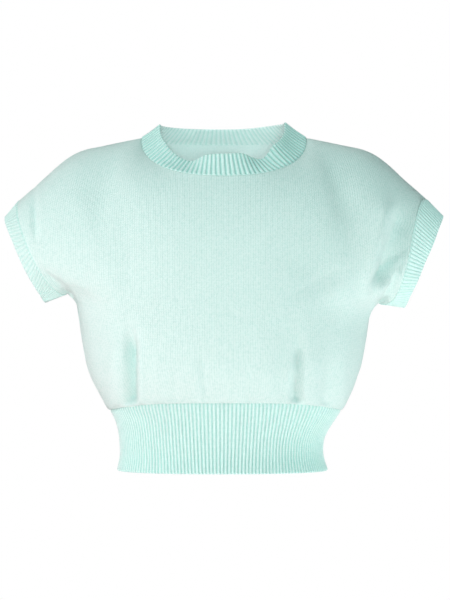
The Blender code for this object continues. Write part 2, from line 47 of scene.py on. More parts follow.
tube = {  # rings up the body: height, half width, depth of front and back, shift to the right
    "waistband": [
        (0.0, 134.0, 96.0, 84.0, -2.0),
        (20.0, 129.3, 92.0, 81.0, -3.0),
        (38.0, 130.0, 93.0, 81.5, -3.0),
        (52.0, 133.8, 95.5, 83.5, -1.0),
        (66.0, 140.5, 99.5, 86.5, 1.5),
        (77.0, 147.0, 103.5, 89.5, 2.0),
        (89.0, 154.0, 108.0, 92.5, 2.0),
    ],
    "body": [
        (76.0, 149.0, 105.0, 91.5, 2.0),
        (89.0, 156.0, 110.5, 95.0, 1.5),
        (105.0, 164.5, 116.0, 99.5, 1.0),
        (120.0, 170.8, 119.5, 102.0, 0.0),
        (135.0, 176.0, 121.5, 103.5, 0.0),
        (166.0, 182.0, 122.0, 104.5, 0.0),
        (197.0, 186.5, 120.0, 103.5, 0.0),
        (222.0, 190.5, 117.5, 102.0, 0.0),
    ],
    "squareness": 2.25,  # 2 is an ellipse, and more is boxier
    "waistSeam": 89.0,
    "waistDroop": 12.0,  # how much lower that seam lies at the sides
    "underarm": 214.0,  # at the middle of the front and the back
    "levelBend": 3,  # the higher, the nearer to the sides the two levels above bend
    "flareRise": 15.0,  # over this height the side seam turns out to the armhole
    "flareFade": 10,
    "tangentFrom": 0.9,  # the share of the body from which its slope at underarm level is read
}
shoulders = {
    "seam": [  # across, height
        (105.5, 425.5),
        (132.6, 420.0),
        (158.0, 414.6),
        (178.0, 410.4),
        (195.0, 402.8),
        (212.0, 390.0),
        (230.0, 373.0),
        (247.0, 358.3),
        (261.0, 345.8),
    ],
    "armhole": {  # top across and height, low across and height, half depth, bulge
        -1: (261.0, 345.8, 201.5, 225.5, 60.0, 11.0),
        1: (261.0, 345.8, 198.5, 213.5, 60.0, 11.0),
    },
    "armbandEdge": {
        -1: (281.5, 323.0, 230.0, 215.0, 41.0, 3.0),
        1: (281.0, 324.5, 232.0, 208.5, 41.0, 0.0),
    },
    "seamSkew": {  # how much more the armhole seam bulges near its low end and near its top
        "front": {-1: (8.0, 3.0), 1: (21.0, -31.5)},
        "back": {-1: (0.0, 0.0), 1: (0.0, 0.0)},
    },
    "lowHandle": 0.36,  # how far the yoke goes on as it leaves the body and as it reaches the top
    "topHandle": 0.34,
    "pullStarts": 0.3,  # from here to the side the yoke takes on the armhole's bulge
    "slopeAtNeck": 9.0,  # degrees
    "slopeAtMiddle": {"front": 60.0, "back": 55.0},
    "slopeGrowth": 1.5,
    "headingAtNeck": 50.0,  # where the cloth points as it reaches the neck point, from straight in
    "headingTurnsOver": 0.8,
}
neckline = {
    "seam": {  # half width, height at the sides, depth and height at the middle, squareness, shift
        "front": (105.5, 425.5, 80.0, 374.5, 2.4, 0.0),
        "back": (105.5, 425.5, 62.0, 421.5, 2.2, 0.0),
    },
    "edge": {
        "front": (79.5, 442.8, 70.0, 393.0, 2.5, -2.0),
        "back": (79.5, 442.8, 48.0, 439.5, 2.2, -2.0),
    },
    "rise": (70.0, 32.0, 2.8),  # the edge is drawn up here: where, how wide, how far
    "slack": [  # the front edge sags and stands: across, how far up, how far back
        (-82.0, 0.0, 0.0),
        (-74.0, 1.5, 0.0),
        (-62.0, -2.0, 1.5),
        (-50.0, -3.5, 5.0),
        (-42.0, -3.4, 6.5),
        (-35.0, -0.4, 4.5),
        (-27.0, 5.0, 0.5),
        (-17.0, 7.9, -2.0),
        (3.0, 9.1, -3.0),
        (20.0, 8.7, -2.5),
        (27.0, 6.6, -0.5),
        (34.0, 1.5, 3.5),
        (42.0, -3.0, 6.5),
        (49.0, -5.0, 6.5),
        (55.0, -2.2, 3.0),
        (61.0, 3.2, -1.0),
        (68.0, 2.6, -1.5),
        (76.0, 0.0, 0.0),
    ],
    "slackStarts": 16.0,  # the slack grows over this distance from the plane of the side seams
}


def smoothStep(value):
    value = np.clip(value, 0.0, 1.0)
    return value * value * (3.0 - 2.0 * value)


def unit(vectors):
    length = np.linalg.norm(vectors, axis=-1, keepdims=True)
    return vectors / np.maximum(length, 1e-9)


def point(x, y, z):
    return np.stack(np.broadcast_arrays(x, y, z), axis=-1).astype(float)


def handOf(turn):
    return np.where(np.asarray(turn) > 0.0, 1, -1)


def readTable(rows, place):  # a smooth curve through the rows' values
    table = np.array(rows, float)
    at, values = table[:, 0], table[:, 1:]
    place = np.clip(place, at[0], at[-1])
    before = np.maximum(np.arange(len(at)) - 1, 0)
    after = np.minimum(np.arange(len(at)) + 1, len(at) - 1)
    slope = (values[after] - values[before]) / (at[after] - at[before])[:, None]
    low = np.clip(np.searchsorted(at, place, side="right") - 1, 0, len(at) - 2)
    width = (at[low + 1] - at[low])[..., None]
    s = (place - at[low])[..., None] / width
    return (
        values[low] * (2 * s**3 - 3 * s**2 + 1)
        + slope[low] * width * (s**3 - 2 * s**2 + s)
        + values[low + 1] * (3 * s**2 - 2 * s**3)
        + slope[low + 1] * width * (s**3 - s**2)
    )


def ringPoint(rows, height, turn, side):  # turn runs from -1 at one side seam to 1 at the other
    section = readTable(rows, height)
    angle = turn * math.pi / 2
    power = 2 / tube["squareness"]
    across = section[..., 0] * np.sign(np.sin(angle)) * np.abs(np.sin(angle)) ** power
    depth = section[..., 1] if side == "front" else section[..., 2]
    out = depth * np.abs(np.cos(angle)) ** power
    return point(section[..., 3] + across, facing[side] * out, height)


def byHand(ovals, turn, column):
    return np.where(handOf(turn) > 0, ovals[1][column], ovals[-1][column])


def underarmHeight(turn):
    low = byHand(shoulders["armhole"], turn, 3)
    return tube["underarm"] + (low - tube["underarm"]) * np.abs(turn) ** tube["levelBend"]


def waistSeamHeight(turn):
    bend = np.abs(np.sin(turn * math.pi / 2)) ** tube["levelBend"]
    return tube["waistSeam"] - tube["waistDroop"] * bend


def bodyPoint(turn, share, side):  # from the waist seam to underarm level
    low, high = waistSeamHeight(turn), underarmHeight(turn)
    height = low + (high - low) * share
    spot = ringPoint(tube["body"], height, turn, side)
    flare = byHand(shoulders["armhole"], turn, 2) - readTable(tube["body"], height)[..., 0]
    rise = np.clip(1 - (high - low) * (1 - share) / tube["flareRise"], 0, 1)
    spot[..., 0] += handOf(turn) * flare * rise**2 * np.abs(turn) ** tube["flareFade"]
    return spot


def neckPoint(loop, turn, side):
    halfWidth, sideHeight, depth, middleHeight, squareness, shift = loop
    angle = turn * math.pi / 2
    power = 2 / squareness
    across = shift + halfWidth * np.sign(np.sin(angle)) * np.abs(np.sin(angle)) ** power
    middle = np.abs(np.cos(angle)) ** power
    height = sideHeight + (middleHeight - sideHeight) * middle
    return point(across, facing[side] * depth * middle, height)


def neckEdgePoint(turn, side):
    spot = neckPoint(neckline["edge"][side], turn, side)
    where, reach, lift = neckline["rise"]
    slack = readTable(neckline["slack"], spot[..., 0])
    near = smoothStep(-spot[..., 1] / neckline["slackStarts"])
    spot[..., 2] += lift * np.exp(-(((spot[..., 0] - where) / reach) ** 2)) + slack[..., 0] * near
    spot[..., 1] += slack[..., 1] * near
    return spot


def topPoint(turn, neckShare, side):  # the panel's upper edge and the cloth's heading and slope there
    neckTurn = np.clip(turn / neckShare, -1, 1)
    middle = 1 - np.abs(neckTurn)
    heading = shoulders["headingAtNeck"] + (90 - shoulders["headingAtNeck"]) * middle
    growth = np.sin(middle * math.pi / 2) ** shoulders["slopeGrowth"]
    slopes = shoulders["slopeAtNeck"], shoulders["slopeAtMiddle"][side]
    slope = slopes[0] + (slopes[1] - slopes[0]) * growth
    onNeck = neckPoint(neckline["seam"][side], neckTurn, side)
    share = np.clip((np.abs(turn) - neckShare) / (1 - neckShare), 0, 1)
    first, last = shoulders["seam"][0][0], shoulders["seam"][-1][0]
    across = first + (last - first) * share
    onShoulder = point(handOf(turn) * across, 0.0, readTable(shoulders["seam"], across)[..., 0])
    turned = smoothStep(share / shoulders["headingTurnsOver"])
    isNeck = np.abs(turn) <= neckShare
    heading = np.where(isNeck, heading, shoulders["headingAtNeck"] * (1 - turned) + 90 * turned)
    slope = np.where(isNeck, slope, shoulders["slopeAtNeck"] * (1 - turned))
    return np.where(isNeck[..., None], onNeck, onShoulder), np.radians(heading), np.radians(slope)


def ovalFrame(oval, hand):
    top = np.array([hand * oval[0], 0.0, oval[1]])
    low = np.array([hand * oval[2], 0.0, oval[3]])
    return (top + low) / 2, (top - low) / 2


def ovalOutward(oval, hand):
    up = ovalFrame(oval, hand)[1]
    return unit(np.array([hand * up[2], 0.0, -hand * up[0]]))


def yokePoint(turn, share, neckShare, side):  # from underarm level to the shoulder and the neck
    turn, share = np.broadcast_arrays(turn, share)
    low = bodyPoint(turn, 1.0, side)
    below = bodyPoint(turn, tube["tangentFrom"], side)
    top, heading, slope = topPoint(turn, neckShare, side)
    chord = np.linalg.norm(top - low, axis=-1, keepdims=True)
    arrival = point(
        -handOf(turn) * np.cos(heading) * np.cos(slope),
        -facing[side] * np.sin(heading) * np.cos(slope),
        np.sin(slope),
    )
    rising = unit(low - below) * chord * shoulders["lowHandle"]
    falling = -arrival * chord * shoulders["topHandle"]
    # A cubic curve bulges by three quarters of what its two handles are pulled out.
    pulls = {}
    for hand, oval in shoulders["armhole"].items():
        depth = np.array([0.0, facing[side] * oval[4], 0.0])
        bulges = [oval[5] + skew for skew in shoulders["seamSkew"][side][hand]]
        pulls[hand] = [(ovalOutward(oval, hand) * bulge + depth) * 4 / 3 for bulge in bulges]
    isRight = (handOf(turn) > 0)[..., None]
    lowPull, topPull = (np.where(isRight, pulls[1][end], pulls[-1][end]) for end in (0, 1))
    starts = shoulders["pullStarts"]
    weight = smoothStep((np.abs(turn) - starts) / (1 - starts))[..., None]
    leave = low + rising * (1 - weight) + lowPull * weight
    arrive = top + falling * (1 - weight) + topPull * weight
    s = share[..., None]
    return (
        low * (1 - s) ** 3
        + leave * 3 * (1 - s) ** 2 * s
        + arrive * 3 * (1 - s) * s**2
        + top * s**3
    )


# Materials: one knit pattern, drawn for the face and the reverse of jersey and rib.


def linear(hexColour, alpha=1.0):  # sRGB hex to the linear values that shaders take
    parts = [int(hexColour[i:i + 2], 16) / 255 for i in (1, 3, 5)]
    return [p / 12.92 if p <= 0.04045 else ((p + 0.055) / 1.055) ** 2.4 for p in parts] + [alpha]


def addNode(tree, kind, inputs, **settings):  # an input that is a node or a socket is linked
    node = tree.nodes.new("ShaderNode" + kind)
    for name, value in settings.items():
        setattr(node, name, value)
    for name, value in inputs.items():
        if isinstance(value, bpy.types.Node):
            value = value.outputs[0]
        if isinstance(value, bpy.types.NodeSocket):
            tree.links.new(value, node.inputs[name])
        else:
            node.inputs[name].default_value = value
    return node


def shapeCurve(node, points):  # sets a Float Curve node's line
    curve = node.mapping.curves[0]
    while len(curve.points) < len(points):
        curve.points.new(0.5, 0.5)
    for spot, place in zip(curve.points, points):
        spot.location = place
        spot.handle_type = "AUTO"
    node.mapping.update()


stitchSize = {"wale": 3.06, "course": 2.2, "ribCourse": 2.3}
wool = {
    # Fine lambswool, knitted and lightly brushed: matt, with a soft pale bloom at grazing
    # angles and short loose fibres that blur the stitches.
    "light": "#dcf2ee",
    # The next colour is painted shade, for the valleys between the stitches.
    "valleyShade": "#99d2c9",
    # The reverse colours are paler than the face's: painted light for the inside of the garment, which
    # is the same yarn. The second is painted shade in the valleys.
    "reverse": "#f2fdfb",
    "reverseValleyShade": "#cfece7",
    "roughness": 0.92,
    "specular": 0.25,
    "sheen": 0.22,
    "sheenRoughness": 0.45,
    "sheenTint": "#f2fffc",
    "stitchDepth": 0.9,
    "shadeFrom": 0.15,  # the stitch heights between which the painted valley shade turns to the light colour
    "shadeTo": 1.1,
    "fibreSize": 1.1,
    "fibreDetail": 3.0,
    "clumpSize": 2.8,
    "clumpDetail": 2.0,
    "clumpTone": 0.16,  # how far a clump of fibres shifts the shade, down and up
    "clumpFrom": 0.3,  # the noise values at which it does so most
    "clumpTo": 0.7,
}


def knitMaterial(name, stitch):
    # The pattern reads the piece's own UV map, in wales across and courses up, so that it
    # follows the cloth. A wale is 3.06 mm wide and a course is 2.2 mm high, which just shows.
    material = bpy.data.materials.new(name)
    material.use_nodes = True
    tree = material.node_tree
    tree.nodes.clear()
    place = addNode(tree, "UVMap", {}, uv_map="stitches")
    split = addNode(tree, "SeparateXYZ", {0: place})
    wale = addNode(tree, "Math", {0: split.outputs[0]}, operation="FRACT")
    centred = addNode(tree, "Math", {0: wale, 1: 0.5}, operation="SUBTRACT")
    away = addNode(tree, "Math", {0: centred}, operation="ABSOLUTE")
    slant = addNode(
        tree, "Math", {0: away, 1: -stitch["vDepth"], 2: split.outputs[1]}, operation="MULTIPLY_ADD"
    )
    course = addNode(tree, "Math", {0: slant}, operation="FRACT")
    across = addNode(tree, "FloatCurve", {"Value": wale})
    shapeCurve(across, stitch["across"])
    along = addNode(tree, "FloatCurve", {"Value": course})
    shapeCurve(along, stitch["along"])
    loops = addNode(tree, "Math", {0: across, 1: along}, operation="MULTIPLY")
    where = addNode(tree, "TexCoord", {})
    fibre = addNode(
        tree, "TexNoise",
        {
            "Vector": where.outputs["Object"],
            "Scale": 1 / (wool["fibreSize"] * mm),
            "Detail": wool["fibreDetail"],
        },
    )
    clump = addNode(
        tree, "TexNoise",
        {
            "Vector": where.outputs["Object"],
            "Scale": 1 / (wool["clumpSize"] * mm),
            "Detail": wool["clumpDetail"],
        },
    )
    fuzz = addNode(
        tree, "Math", {0: fibre.outputs[0], 1: stitch["fuzz"], 2: loops}, operation="MULTIPLY_ADD"
    )
    bump = addNode(
        tree, "Bump",
        {"Strength": stitch["bump"], "Distance": wool["stitchDepth"] * mm, "Height": fuzz},
    )
    # Low stitch heights take the painted valley shade and high ones the light colour; the fibre noise
    # in the height adds tone that differs at random.
    shade = addNode(
        tree, "MapRange",
        {
            "Value": fuzz,
            "From Min": wool["shadeFrom"],
            "From Max": wool["shadeTo"],
            "To Min": 0.0,
            "To Max": stitch["contrast"],
        },
    )
    patch = addNode(
        tree, "MapRange",
        {
            "Value": clump.outputs[0],
            "From Min": wool["clumpFrom"],
            "From Max": wool["clumpTo"],
            "To Min": -wool["clumpTone"],
            "To Max": wool["clumpTone"],
        },
    )
    tone = addNode(tree, "Math", {0: shade, 1: patch}, operation="ADD", use_clamp=True)
    base = addNode(tree, "Math", {0: tone, 1: 1 - stitch["contrast"]}, operation="ADD", use_clamp=True)
    colour = addNode(
        tree, "Mix",
        {0: base, 6: linear(stitch["valleyShade"]), 7: linear(stitch["light"])}, data_type="RGBA",
    )
    shader = addNode(
        tree, "BsdfPrincipled",
        {
            "Base Color": colour.outputs[2],
            "Roughness": wool["roughness"],
            "Sheen Weight": wool["sheen"],
            "Sheen Roughness": wool["sheenRoughness"],
            "Sheen Tint": linear(wool["sheenTint"]),
            "Specular IOR Level": wool["specular"],
            "Normal": bump,
        },
    )
    addNode(tree, "OutputMaterial", {"Surface": shader})
    return material


jerseyStitch = {  # the face of stocking stitch: columns of small Vs
    "vDepth": 1.5,  # how far a V's arms rise, in courses
    "across": [  # the height of the yarn from one side of a wale to the other
        (0.0, 0.05), (0.14, 0.72), (0.27, 1.0), (0.42, 0.72), (0.5, 0.5),
        (0.58, 0.72), (0.73, 1.0), (0.86, 0.72), (1.0, 0.05),
    ],
    "along": [(0.0, 0.45), (0.2, 0.85), (0.5, 1.0), (0.8, 0.85), (1.0, 0.45)],
    "fuzz": 0.55,
    "bump": 0.75,
    "contrast": 0.6,
    "light": wool["light"],
    "valleyShade": wool["valleyShade"],
}
purlStitch = {  # its reverse: rows of flat bumps, in the paler reverse colours, which are painted light
    "vDepth": -0.35,
    "across": [(0.0, 0.6), (0.25, 0.95), (0.5, 1.0), (0.75, 0.95), (1.0, 0.6)],
    "along": [(0.0, 0.15), (0.25, 0.8), (0.5, 1.0), (0.75, 0.8), (1.0, 0.15)],
    "fuzz": 0.5,
    "bump": 0.5,
    "contrast": 0.4,
    "light": wool["reverse"],
    "valleyShade": wool["reverseValleyShade"],
}
ribStitch = {  # one by one rib: a column of Vs on each raised rib, and painted shade, a deeper colour, in the valleys between them
    "vDepth": 1.8,
    "across": [
        (0.0, 0.0), (0.14, 0.08), (0.31, 0.92), (0.5, 0.9), (0.69, 0.92), (0.86, 0.08), (1.0, 0.0),
    ],
    "along": [(0.0, 0.4), (0.2, 0.85), (0.5, 1.0), (0.8, 0.85), (1.0, 0.4)],
    "fuzz": 0.4,
    "bump": 0.6,
    "contrast": 0.8,
    "light": "#d0eae6",
    "valleyShade": "#97cfc6",
}
# The inside of the bands takes the paler reverse colours: painted light, with painted shade in the
# valleys.
ribInside = {**ribStitch, "light": wool["reverse"], "valleyShade": wool["reverseValleyShade"]}
stretchedRib = {  # the armbands are pulled wide, so their valleys open and their painted shade is paler
    **ribStitch,
    "across": [
        (0.0, 0.2), (0.16, 0.34), (0.32, 0.94), (0.5, 0.9), (0.68, 0.94), (0.84, 0.34), (1.0, 0.2),
    ],
    "contrast": 0.5,
    "light": "#cfece7",
    "valleyShade": "#9bd3ca",
}
jerseyFace = knitMaterial("brushedWoolJersey", jerseyStitch)
jerseyReverse = knitMaterial("brushedWoolPurlSide", purlStitch)
ribFace = knitMaterial("woolRibOneByOne", ribStitch)
ribReverse = knitMaterial("woolRibInside", ribInside)
stretchedRibFace = knitMaterial("woolRibStretched", stretchedRib)
print("materials ready")

# Knitted walls: every piece is a thin shell of two grids.


def knitShell(name, outer, inner, stitches, flip, face, reverse):
    # Two grids, the face and the reverse of the cloth, that meet along their edges.
    rows, columns = outer.shape[:2]
    shell = bmesh.new()
    for _ in range(2):
        bmesh.ops.create_grid(shell, x_segments=columns - 1, y_segments=rows - 1, size=1.0)
    shell.faces.ensure_lookup_table()
    half = len(shell.faces) // 2
    for index, patch in enumerate(shell.faces):
        patch.material_index = index // half
        patch.smooth = True
    turned = shell.faces[:half] if flip else shell.faces[half:]
    bmesh.ops.reverse_faces(shell, faces=turned)
    mesh = bpy.data.meshes.new(name)
    shell.to_mesh(mesh)
    shell.free()

    # The grids' points are put in their places on the cloth, with wales and courses as UVs.
    start = np.empty(len(mesh.vertices) * 3)
    mesh.vertices.foreach_get("co", start)
    start = start.reshape(2, rows * columns, 3)
    i = np.rint((start[0, :, 0] + 1) / 2 * (columns - 1)).astype(int)
    j = np.rint((start[0, :, 1] + 1) / 2 * (rows - 1)).astype(int)
    placed = np.concatenate([outer[j, i], inner[j, i]])
    placed = (placed - np.array([0.0, 0.0, neckPointHeight])) * mm
    mesh.vertices.foreach_set("co", placed.ravel())
    corner = np.empty(len(mesh.loops), int)
    mesh.loops.foreach_get("vertex_index", corner)
    both = np.concatenate([stitches[j, i], stitches[j, i]])
    layer = mesh.uv_layers.new(name="stitches")
    layer.data.foreach_set("uv", both[corner].ravel())

    # Where the two grids meet, they become one closed shell.
    shell = bmesh.new()
    shell.from_mesh(mesh)
    bmesh.ops.remove_doubles(shell, verts=shell.verts[:], dist=0.002 * mm)
    shell.to_mesh(mesh)
    shell.free()
    mesh.materials.append(face)
    mesh.materials.append(reverse)
    piece = bpy.data.objects.new(name, mesh)
    bpy.context.scene.collection.objects.link(piece)
    print(name, (rows, columns), "made")
    return piece


def gridNormals(rows, side):
    up = np.gradient(rows, axis=0)
    over = np.gradient(rows, axis=1)
    return unit(np.cross(over, up)) * -facing[side]


def lip(distance, reach):  # half of the wall's thickness near an edge, as a share of the whole
    inward = 1 - np.clip(distance / reach, 0, 1)
    return np.sqrt(np.maximum(1 - inward**2, 0))


def runAlong(rows, axis):  # how far each point lies along its row or column, in millimetres
    steps = np.linalg.norm(np.diff(rows, axis=axis), axis=-1)
    pad = [(0, 0), (0, 0)]
    pad[axis] = (1, 0)
    return np.cumsum(np.pad(steps, pad), axis=axis)


def fromEnds(run, axis):  # how far each point lies from the nearer end of its row or column
    last = run[-1:] if axis == 0 else run[:, -1:]
    return np.minimum(run, last - run)


# The front and the back.

panels = {
    "thickness": 1.8,
    "columns": {"front": (26, 9), "back": (20, 10)},  # along the neck, and along each shoulder
    "finer": 5,  # each of those columns is parted into so many
    "bodyRows": 64,
    "yokeRows": 120,
    "columnNudge": 0.12,  # the grid has one more line this share of a step inside each edge
    "rowNudge": 0.25,
    "lipReach": 1.2,
    "seamGroove": 0.3,
    "levelEasing": 160,  # rounds that take the bend at underarm level out of the surface
    "levelReach": 26.0,
    "levelInset": 24.0,
    "neckEasing": 50,  # rounds that take the corner of the neck out of the yoke
    "neckInset": 26.0,
    "neckEasingFrom": 40.0,  # above the waist seam, growing over the next height
    "neckEasingOver": 60.0,
    "calm": 8.0,  # folds grow from a seam over this distance
    "fade": 22.0,
    "waleEasing": 140,  # rounds that bend the wales gently where the sleeves begin
    "waleReach": 34.0,
    "firstWale": 200.0,  # keeps the count of the wales above zero
}
# Creases: from across and height to across and height, reach, depth (a trough is negative),
# and lean, which makes one flank steeper than the other.
creases = {
    "front": [
        (-118.5, 70.0, -117.5, 152.0, 6.8, -16.0, 0.1),
        (-140.0, 84.0, -138.0, 146.0, 9.0, 2.6, 0.0),
        (-105.0, 84.0, -106.0, 138.0, 8.5, 2.2, 0.0),
        (90.0, 72.0, 95.0, 142.0, 7.0, -9.0, -0.3),
        (108.0, 84.0, 113.0, 134.0, 8.0, 2.4, 0.0),
        (103.0, 92.0, 94.0, 120.0, 4.5, 1.8, 0.3),
        (80.0, 84.0, 84.0, 128.0, 9.0, 2.4, 0.0),
        (128.0, 90.0, 133.0, 120.0, 7.5, -3.2, 0.0),
        (148.0, 100.0, 152.0, 150.0, 10.0, 2.2, 0.0),
        (-20.5, 80.0, -26.0, 126.0, 5.0, -1.9, 0.3),
        (-33.0, 84.0, -38.0, 120.0, 9.0, 1.2, 0.0),
        (-64.0, 84.0, -62.0, 112.0, 6.5, -1.7, 0.0),
        (-84.0, 84.0, -83.0, 120.0, 7.0, 1.2, 0.0),
        (31.0, 82.0, 33.0, 112.0, 6.5, -1.6, 0.0),
        (56.0, 84.0, 58.0, 118.0, 8.0, 1.6, 0.0),
        (8.0, 84.0, 7.0, 108.0, 6.0, 1.0, 0.0),
        (70.0, 110.0, 80.0, 176.0, 14.0, -2.2, 0.2),
        (199.0, 252.0, 218.0, 312.0, 12.5, -11.5, 0.3),
        (182.0, 246.0, 198.0, 318.0, 8.0, 3.6, 0.0),
        (146.0, 232.0, 202.0, 322.0, 21.0, 6.0, 0.2),
        (104.0, 262.0, 150.0, 330.0, 24.0, -3.4, 0.0),
        (110.0, 236.0, 132.0, 248.0, 10.0, -2.4, 0.3),
        (196.0, 251.0, 214.0, 268.0, 6.0, -3.4, -0.35),
        (209.0, 238.0, 231.0, 254.0, 8.5, 6.0, 0.0),
        (204.0, 218.0, 213.0, 236.0, 5.6, -8.0, 0.2),
        (242.0, 304.0, 252.0, 338.0, 4.0, -4.2, 0.2),
        (-205.0, 227.0, -214.0, 236.0, 5.5, -6.0, 0.2),
        (-178.0, 222.0, -200.0, 232.0, 9.0, -2.4, 0.0),
        (-239.0, 318.0, -240.0, 332.0, 3.4, -4.0, 0.0),
        (-150.0, 236.0, -176.0, 330.0, 18.0, 2.2, 0.0),
        (-118.0, 250.0, -128.0, 340.0, 16.0, -1.8, 0.0),
    ],
    "back": [
        (-124.0, 80.0, -120.0, 144.0, 8.0, -5.0, 0.2),
        (-98.0, 86.0, -94.0, 122.0, 7.0, 2.0, 0.0),
        (-74.0, 86.0, -71.0, 132.0, 8.0, -3.0, 0.0),
        (-52.0, 86.0, -50.0, 112.0, 6.0, 1.2, 0.0),
        (-30.0, 86.0, -29.0, 118.0, 7.0, -2.0, 0.0),
        (4.0, 86.0, 5.0, 110.0, 7.0, -1.6, 0.0),
        (22.0, 86.0, 23.0, 116.0, 6.0, 1.2, 0.0),
        (43.0, 86.0, 45.0, 128.0, 8.0, -2.6, 0.0),
        (66.0, 86.0, 68.0, 112.0, 7.0, 1.6, 0.0),
        (88.0, 86.0, 93.0, 138.0, 8.0, -4.0, -0.2),
        (122.0, 82.0, 128.0, 134.0, 8.0, -3.5, 0.0),
        (-196.0, 238.0, -211.0, 300.0, 9.0, -5.0, -0.4),
        (-184.0, 242.0, -198.0, 306.0, 9.0, 2.5, 0.0),
        (196.0, 240.0, 213.0, 294.0, 9.0, -4.5, 0.4),
        (203.0, 223.0, 213.0, 235.0, 7.0, -3.0, 0.0),
        (-203.0, 223.0, -213.0, 235.0, 7.0, -3.0, 0.0),
        (241.0, 312.0, 247.0, 332.0, 5.0, -2.0, 0.0),
        (-241.0, 312.0, -247.0, 332.0, 5.0, -2.0, 0.0),
    ],
}


def creaseHeight(spots, rows):
    total = np.zeros(spots.shape[:-1])
    for lowX, lowH, highX, highH, reach, depth, lean in rows:
        length = math.hypot(highX - lowX, highH - lowH)
        alongX, alongH = (highX - lowX) / length, (highH - lowH) / length
        dx, dh = spots[..., 0] - lowX, spots[..., 2] - lowH
        run = dx * alongX + dh * alongH
        beside = dx * alongH - dh * alongX
        past = np.maximum(np.maximum(-run, run - length), 0)
        width = reach * np.where(beside > 0, 1 + lean, 1 - lean)
        total += depth * np.exp(-((beside / width) ** 2) - (past / panels["fade"]) ** 2)
    return total


def seamDistance(rows, bodyCount, shoulderColumns):
    # The distances to the side and shoulder seams, and to the edges that carry a band.
    up, sides = runAlong(rows, 0), fromEnds(runAlong(rows, 1), 1)
    down = up[-1:] - up
    column = np.arange(rows.shape[1])
    isShoulder = np.minimum(column, column[::-1])[None, :] <= shoulderColumns
    isBody = (np.arange(rows.shape[0]) < bodyCount)[:, None]
    seam = np.minimum(np.where(isBody, sides, np.inf), np.where(isShoulder, down, np.inf))
    band = np.minimum(np.where(isBody, np.inf, sides), np.where(isShoulder, np.inf, down))
    return seam, np.minimum(band, up)


def nearEnds(count, nudge):  # even steps from 0 to 1, with one more close to each end
    steps = np.linspace(0, 1, count + 1)
    return np.concatenate([[0.0, nudge / count], steps[1:-1], [1 - nudge / count, 1.0]])


def evenOut(rows, axis, rounds, weight):  # draws each point towards the middle of its neighbours
    grid = np.moveaxis(rows, axis, 0)
    weight = np.moveaxis(weight, axis, 0)[1:-1]
    for _ in range(rounds):
        middle = (grid[:-2] + grid[2:]) / 2
        grid[1:-1] += (middle - grid[1:-1]) * 0.5 * weight


def panelSurface(side):
    neckColumns, shoulderColumns = (c * panels["finer"] for c in panels["columns"][side])
    count = neckColumns + 2 * shoulderColumns
    neckShare = neckColumns / count
    turns = nearEnds(count, panels["columnNudge"]) * 2 - 1
    bodyShares = nearEnds(panels["bodyRows"], panels["rowNudge"])[:-2]
    yokeShares = np.delete(nearEnds(panels["yokeRows"], panels["rowNudge"]), 1)
    low = bodyPoint(turns[None, :], bodyShares[:, None], side)
    high = yokePoint(turns[None, :], yokeShares[:, None], neckShare, side)
    rows = np.concatenate([low, high])

    # The bend at underarm level is eased up and down, and the yoke sideways. Both fade near
    # the seams, which keep their places.
    up = runAlong(rows, 0)
    inside = smoothStep(fromEnds(runAlong(rows, 1), 1) / panels["levelInset"])
    level = up - up[len(bodyShares):len(bodyShares) + 1]
    weight = np.exp(-((level / panels["levelReach"]) ** 2)) * inside
    evenOut(rows, 0, panels["levelEasing"], weight[..., None])
    up = runAlong(rows, 0)
    weight = smoothStep((up[-1:] - up) / panels["neckInset"])
    weight *= smoothStep((up - panels["neckEasingFrom"]) / panels["neckEasingOver"])
    evenOut(rows, 1, panels["neckEasing"], weight[..., None])
    edge = np.minimum(fromEnds(runAlong(rows, 0), 0), fromEnds(runAlong(rows, 1), 1))
    calm = smoothStep(edge / panels["calm"])
    rows += gridNormals(rows, side) * (creaseHeight(rows, creases[side]) * calm)[..., None]
    return rows, len(bodyShares), shoulderColumns


def panelStitches(rows, bodyCount):
    # Wales run straight up the cloth. Below underarm level their number is the same in each
    # row, so they draw together towards the waist, and above it they keep their width.
    flat = np.diff(rows, axis=1)
    run = np.cumsum(np.pad(np.hypot(flat[..., 0], flat[..., 1]), [(0, 0), (1, 0)]), axis=1)
    middle = rows.shape[1] // 2
    run -= run[:, middle:middle + 1]
    span = run[:, -1:] - run[:, :1]
    scale = np.ones_like(span)
    scale[:bodyCount] = span[bodyCount, 0] / span[:bodyCount]
    wales = run * scale / stitchSize["wale"]
    level = runAlong(rows, 0)
    weight = np.exp(-(((level - level[bodyCount:bodyCount + 1]) / panels["waleReach"]) ** 2))
    evenOut(wales, 0, panels["waleEasing"], weight)
    rise = np.diff(rows, axis=0)
    height = np.cumsum(np.pad(np.hypot(rise[..., 1], rise[..., 2]), [(1, 0), (0, 0)]), axis=0)
    return np.stack([wales + panels["firstWale"], height / stitchSize["course"]], axis=-1)


def panelShell(side):
    rows, bodyCount, shoulderColumns = panelSurface(side)
    normals = gridNormals(rows, side)
    # The wall closes halfway at an edge that carries a band, and near its face at a seam.
    seam, band = (lip(d, panels["lipReach"]) for d in seamDistance(rows, bodyCount, shoulderColumns))
    sunk = panels["thickness"] / 2 * (1 - band) + panels["seamGroove"] * (1 - seam) * band
    outer = rows - normals * sunk[..., None]
    inner = outer - normals * (panels["thickness"] * band * seam)[..., None]
    stitches = panelStitches(rows, bodyCount)
    flip = side == "back"
    piece = knitShell(side + "Panel", outer, inner, stitches, flip, jerseyFace, jerseyReverse)
    return piece, rows, bodyCount, shoulderColumns


# The rib bands.

